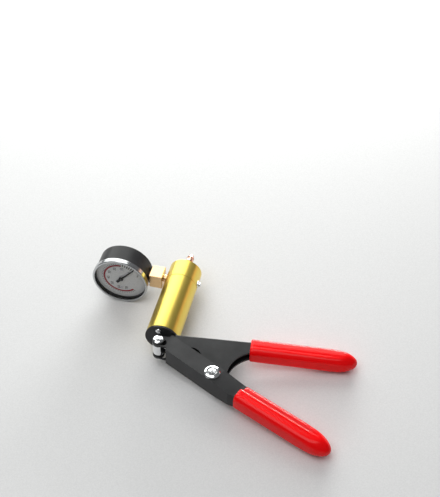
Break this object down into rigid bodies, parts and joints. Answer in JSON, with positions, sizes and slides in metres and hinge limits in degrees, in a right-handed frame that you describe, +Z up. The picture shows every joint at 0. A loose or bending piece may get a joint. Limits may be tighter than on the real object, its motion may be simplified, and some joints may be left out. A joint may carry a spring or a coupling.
{
  "type": "hand vacuum pump",
  "caption": "Hand vacuum pump: short cylinder with a hose nipple, a side-mounted dial gauge and a squeeze lever on a pressed frame, both with dipped sleeves.",
  "frame": {"origin": "centre of the hose nipple's straight barb land, on the cylinder's axis", "axes": "+Y along the cylinder, the way the hose leaves; +X towards the handles; +Z up, with the pump lying on the gauge's rim and the two grips"},
  "size_m": [0.2764, 0.207, 0.0579],
  "materials": {
    "gold_anodised": "gold anodised, satin",
    "copper_plate": "copper-coloured plate",
    "brass": "machined",
    "black_steel": "black satin coat",
    "black_case": "black satin coat",
    "chrome": "polished",
    "bezel_steel": "satin",
    "clear_lens": "clear",
    "dial_white": "white with a red band",
    "pointer_black": "matt black",
    "red_vinyl": "dipped, glossy",
    "black_nylon": "moulded",
    "acetal": "moulded",
    "seal_rubber": "smooth",
    "steel": "plain",
    "piston_alloy": "machined"
  },
  "bodies": {
    "pump": {"block_nipple": "brass", "bourdon_tube": "brass", "cylinder_tube": "gold_anodised", "dial_screws": "steel", "frame_grip": "red_vinyl", "frame_screws": "chrome", "front_head": "gold_anodised", "gauge_bezel": "bezel_steel", "gauge_block": "brass", "gauge_case": "black_case", "gauge_dial": "dial_white", "gauge_lens": "clear_lens", "gauge_movement": "brass", "gauge_stem": "brass", "handle_frame": "black_steel", "head_seal": "seal_rubber", "hose_nipple": "copper_plate", "inlet_valve": "seal_rubber", "pivot_bolt": "chrome", "pivot_bush": "steel", "pivot_nut": "chrome", "pivot_spacers": "black_nylon", "pointer_stop": "steel", "rear_guide": "acetal", "release_bush": "chrome", "rod_seal": "seal_rubber", "valve_seat": "acetal"},
    "lever": {"lever": "black_steel", "lever_grip": "red_vinyl"},
    "rod": {"piston_rod": "chrome", "rod_eye": "chrome", "piston": "piston_alloy", "piston_cup": "seal_rubber", "piston_ring": "black_nylon", "piston_nut": "steel", "clevis_pin": "chrome", "clevis_clip": "chrome", "clevis_washers": "black_nylon", "clevis_spacers": "black_nylon", "return_spring": "steel"},
    "pointer": {"gauge_pointer": "pointer_black"},
    "release": {"release_button": "chrome", "release_poppet": "steel", "release_seal": "seal_rubber", "release_spring": "steel"}
  },
  "joints": [
    {"name": "lever_squeeze", "type": "hinge", "parent": "pump", "child": "lever", "pos_m": [0.05829, -0.1428, -0.0049], "axis": [0.0837, 0, 0.9965], "range_deg": [0, 32], "stiffness_Nm_per_rad": 3, "springref_deg": -8.59},
    {"name": "rod_stroke", "type": "slide", "parent": "pump", "child": "rod", "axis": [0, -1, 0], "range_m": [0, 0.0345], "deforming": ["return_spring"]},
    {"name": "gauge_pointer_turn", "type": "hinge", "parent": "pump", "child": "pointer", "pos_m": [-0.06098, -0.0455, 0.00512], "axis": [0, -1, 0], "range_deg": [0, 265], "stiffness_Nm_per_rad": 0.0003, "springref_deg": -17.19},
    {"name": "release_press", "type": "slide", "parent": "pump", "child": "release", "axis": [-0.9965, 0, 0.0837], "range_m": [0, 0.0018], "stiffness_N_per_m": 400, "springref_m": -0.001, "deforming": ["release_spring"]}
  ],
  "couplings": [
    {"joint": "rod_stroke", "follows": "lever_squeeze", "m_per_rad": 0.06106}
  ]
}
